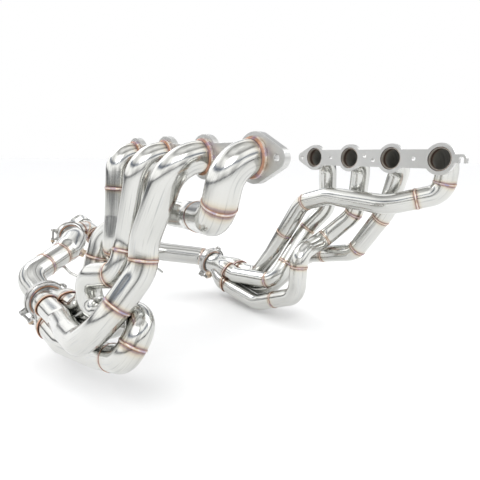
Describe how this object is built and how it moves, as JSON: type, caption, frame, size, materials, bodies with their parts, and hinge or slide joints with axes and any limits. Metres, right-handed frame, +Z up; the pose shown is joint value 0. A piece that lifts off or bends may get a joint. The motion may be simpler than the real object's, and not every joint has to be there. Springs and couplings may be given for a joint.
{
  "type": "racing exhaust system",
  "caption": "Long-tube stainless exhaust for a V8: equal-length primary tubes from each cylinder head into merge collectors, V-band joints, crossover and merge pipes with a slip outlet.",
  "frame": {"origin": "on the gasket face of the right head flange, midway along it between its two middle stud holes", "axes": "+X across the engine to the left bank, +Y to the rear of the engine, +Z up; the right head flange is bolted up at X = 0 with its tubes on the -X side"},
  "size_m": [0.7785, 1.1817, 0.4836],
  "materials": {
    "branch_pipe": "polished stainless steel with heat-tinted welds",
    "crossover_hanger_rod": "polished stainless steel with heat-tinted welds",
    "crossover_pipe": "polished stainless steel with heat-tinted welds",
    "crossover_reducer": "polished stainless steel with heat-tinted welds",
    "left_collector": "polished stainless steel with heat-tinted welds",
    "left_head_flange": "satin stainless steel",
    "left_merge_spike": "dark machined stainless steel",
    "left_primary_1_head": "polished stainless steel with heat-tinted welds",
    "left_primary_1_run": "polished stainless steel with heat-tinted welds",
    "left_primary_1_tail": "polished stainless steel with heat-tinted welds",
    "left_primary_2_head": "polished stainless steel with heat-tinted welds",
    "left_primary_2_tail": "polished stainless steel with heat-tinted welds",
    "left_primary_3_head": "polished stainless steel with heat-tinted welds",
    "left_primary_3_loop": "polished stainless steel with heat-tinted welds",
    "left_primary_3_tail": "polished stainless steel with heat-tinted welds",
    "left_primary_4_head": "polished stainless steel with heat-tinted welds",
    "left_primary_4_tail": "polished stainless steel with heat-tinted welds",
    "left_sensor_bung": "bronzed stainless steel",
    "left_vband_fork_half": "satin stainless steel",
    "left_vband_front_flange": "satin stainless steel",
    "left_vband_hinge_pin": "dark machined stainless steel",
    "left_vband_nut": "bronzed stainless steel",
    "left_vband_pivot_half": "satin stainless steel",
    "left_vband_rear_flange": "satin stainless steel",
    "left_vband_t_bolt": "dark machined stainless steel",
    "merge_hanger_rod": "polished stainless steel with heat-tinted welds",
    "merge_inlet_elbow": "polished stainless steel with heat-tinted welds",
    "merge_mid_pipe": "polished stainless steel with heat-tinted welds",
    "merge_outlet_elbow": "polished stainless steel with heat-tinted welds",
    "merge_sensor_bung": "bronzed stainless steel",
    "merge_vband_fork_half": "satin stainless steel",
    "merge_vband_front_flange": "satin stainless steel",
    "merge_vband_hinge_pin": "dark machined stainless steel",
    "merge_vband_nut": "bronzed stainless steel",
    "merge_vband_pivot_half": "satin stainless steel",
    "merge_vband_rear_flange": "satin stainless steel",
    "merge_vband_t_bolt": "dark machined stainless steel",
    "outlet_sleeve": "polished stainless steel with heat-tinted welds",
    "right_collector": "polished stainless steel with heat-tinted welds",
    "right_head_flange": "satin stainless steel",
    "right_merge_spike": "dark machined stainless steel",
    "right_primary_1_head": "polished stainless steel with heat-tinted welds",
    "right_primary_1_run": "polished stainless steel with heat-tinted welds",
    "right_primary_1_tail": "polished stainless steel with heat-tinted welds",
    "right_primary_2_head": "polished stainless steel with heat-tinted welds",
    "right_primary_2_tail": "polished stainless steel with heat-tinted welds",
    "right_primary_3_head": "polished stainless steel with heat-tinted welds",
    "right_primary_3_loop": "polished stainless steel with heat-tinted welds",
    "right_primary_3_tail": "polished stainless steel with heat-tinted welds",
    "right_primary_4_head": "polished stainless steel with heat-tinted welds",
    "right_primary_4_tail": "polished stainless steel with heat-tinted welds",
    "right_sensor_bung": "bronzed stainless steel",
    "right_vband_fork_half": "satin stainless steel",
    "right_vband_front_flange": "satin stainless steel",
    "right_vband_hinge_pin": "dark machined stainless steel",
    "right_vband_nut": "bronzed stainless steel",
    "right_vband_pivot_half": "satin stainless steel",
    "right_vband_rear_flange": "satin stainless steel",
    "right_vband_t_bolt": "dark machined stainless steel",
    "y_junction": "polished stainless steel with heat-tinted welds"
  },
  "bodies": {
    "exhaust_system": {"branch_pipe": "branch_pipe", "crossover_hanger_rod": "crossover_hanger_rod", "crossover_pipe": "crossover_pipe", "crossover_reducer": "crossover_reducer", "left_collector": "left_collector", "left_head_flange": "left_head_flange", "left_merge_spike": "left_merge_spike", "left_primary_1_head": "left_primary_1_head", "left_primary_1_run": "left_primary_1_run", "left_primary_1_tail": "left_primary_1_tail", "left_primary_2_head": "left_primary_2_head", "left_primary_2_tail": "left_primary_2_tail", "left_primary_3_head": "left_primary_3_head", "left_primary_3_loop": "left_primary_3_loop", "left_primary_3_tail": "left_primary_3_tail", "left_primary_4_head": "left_primary_4_head", "left_primary_4_tail": "left_primary_4_tail", "left_sensor_bung": "left_sensor_bung", "left_vband_fork_half": "left_vband_fork_half", "left_vband_front_flange": "left_vband_front_flange", "left_vband_hinge_pin": "left_vband_hinge_pin", "left_vband_pivot_half": "left_vband_pivot_half", "left_vband_rear_flange": "left_vband_rear_flange", "merge_hanger_rod": "merge_hanger_rod", "merge_inlet_elbow": "merge_inlet_elbow", "merge_mid_pipe": "merge_mid_pipe", "merge_outlet_elbow": "merge_outlet_elbow", "merge_sensor_bung": "merge_sensor_bung", "merge_vband_fork_half": "merge_vband_fork_half", "merge_vband_front_flange": "merge_vband_front_flange", "merge_vband_hinge_pin": "merge_vband_hinge_pin", "merge_vband_pivot_half": "merge_vband_pivot_half", "merge_vband_rear_flange": "merge_vband_rear_flange", "outlet_sleeve": "outlet_sleeve", "right_collector": "right_collector", "right_head_flange": "right_head_flange", "right_merge_spike": "right_merge_spike", "right_primary_1_head": "right_primary_1_head", "right_primary_1_run": "right_primary_1_run", "right_primary_1_tail": "right_primary_1_tail", "right_primary_2_head": "right_primary_2_head", "right_primary_2_tail": "right_primary_2_tail", "right_primary_3_head": "right_primary_3_head", "right_primary_3_loop": "right_primary_3_loop", "right_primary_3_tail": "right_primary_3_tail", "right_primary_4_head": "right_primary_4_head", "right_primary_4_tail": "right_primary_4_tail", "right_sensor_bung": "right_sensor_bung", "right_vband_fork_half": "right_vband_fork_half", "right_vband_front_flange": "right_vband_front_flange", "right_vband_hinge_pin": "right_vband_hinge_pin", "right_vband_pivot_half": "right_vband_pivot_half", "right_vband_rear_flange": "right_vband_rear_flange", "y_junction": "y_junction"},
    "right_t_bolt": {"right_vband_t_bolt": "right_vband_t_bolt"},
    "right_nut": {"right_vband_nut": "right_vband_nut"},
    "left_t_bolt": {"left_vband_t_bolt": "left_vband_t_bolt"},
    "left_nut": {"left_vband_nut": "left_vband_nut"},
    "merge_t_bolt": {"merge_vband_t_bolt": "merge_vband_t_bolt"},
    "merge_nut": {"merge_vband_nut": "merge_vband_nut"}
  },
  "joints": [
    {"name": "right_t_bolt_swing", "type": "hinge", "parent": "exhaust_system", "child": "right_t_bolt", "pos_m": [-0.17208, 0.46436, -0.36556], "axis": [-0.0095, 0.9995, 0.0286], "range_deg": [0, 60]},
    {"name": "right_nut_turn", "type": "hinge", "parent": "right_t_bolt", "child": "right_nut", "pos_m": [-0.15574, 0.46522, -0.39022], "axis": [-0.5521, -0.0291, 0.8332], "continuous": true},
    {"name": "left_t_bolt_swing", "type": "hinge", "parent": "exhaust_system", "child": "left_t_bolt", "pos_m": [0.41491, 0.58525, -0.40266], "axis": [-0.0245, 0.9787, 0.2039], "range_deg": [0, 60]},
    {"name": "left_nut_turn", "type": "hinge", "parent": "left_t_bolt", "child": "left_nut", "pos_m": [0.44115, 0.58867, -0.41593], "axis": [-0.8864, -0.1155, 0.4482], "continuous": true},
    {"name": "merge_t_bolt_swing", "type": "hinge", "parent": "exhaust_system", "child": "merge_t_bolt", "pos_m": [-0.01184, 0.75136, -0.22649], "axis": [0, 1, 0], "range_deg": [0, 60]},
    {"name": "merge_nut_turn", "type": "hinge", "parent": "merge_t_bolt", "child": "merge_nut", "pos_m": [-0.01481, 0.75136, -0.25594], "axis": [0.1005, 0, 0.9949], "continuous": true}
  ]
}
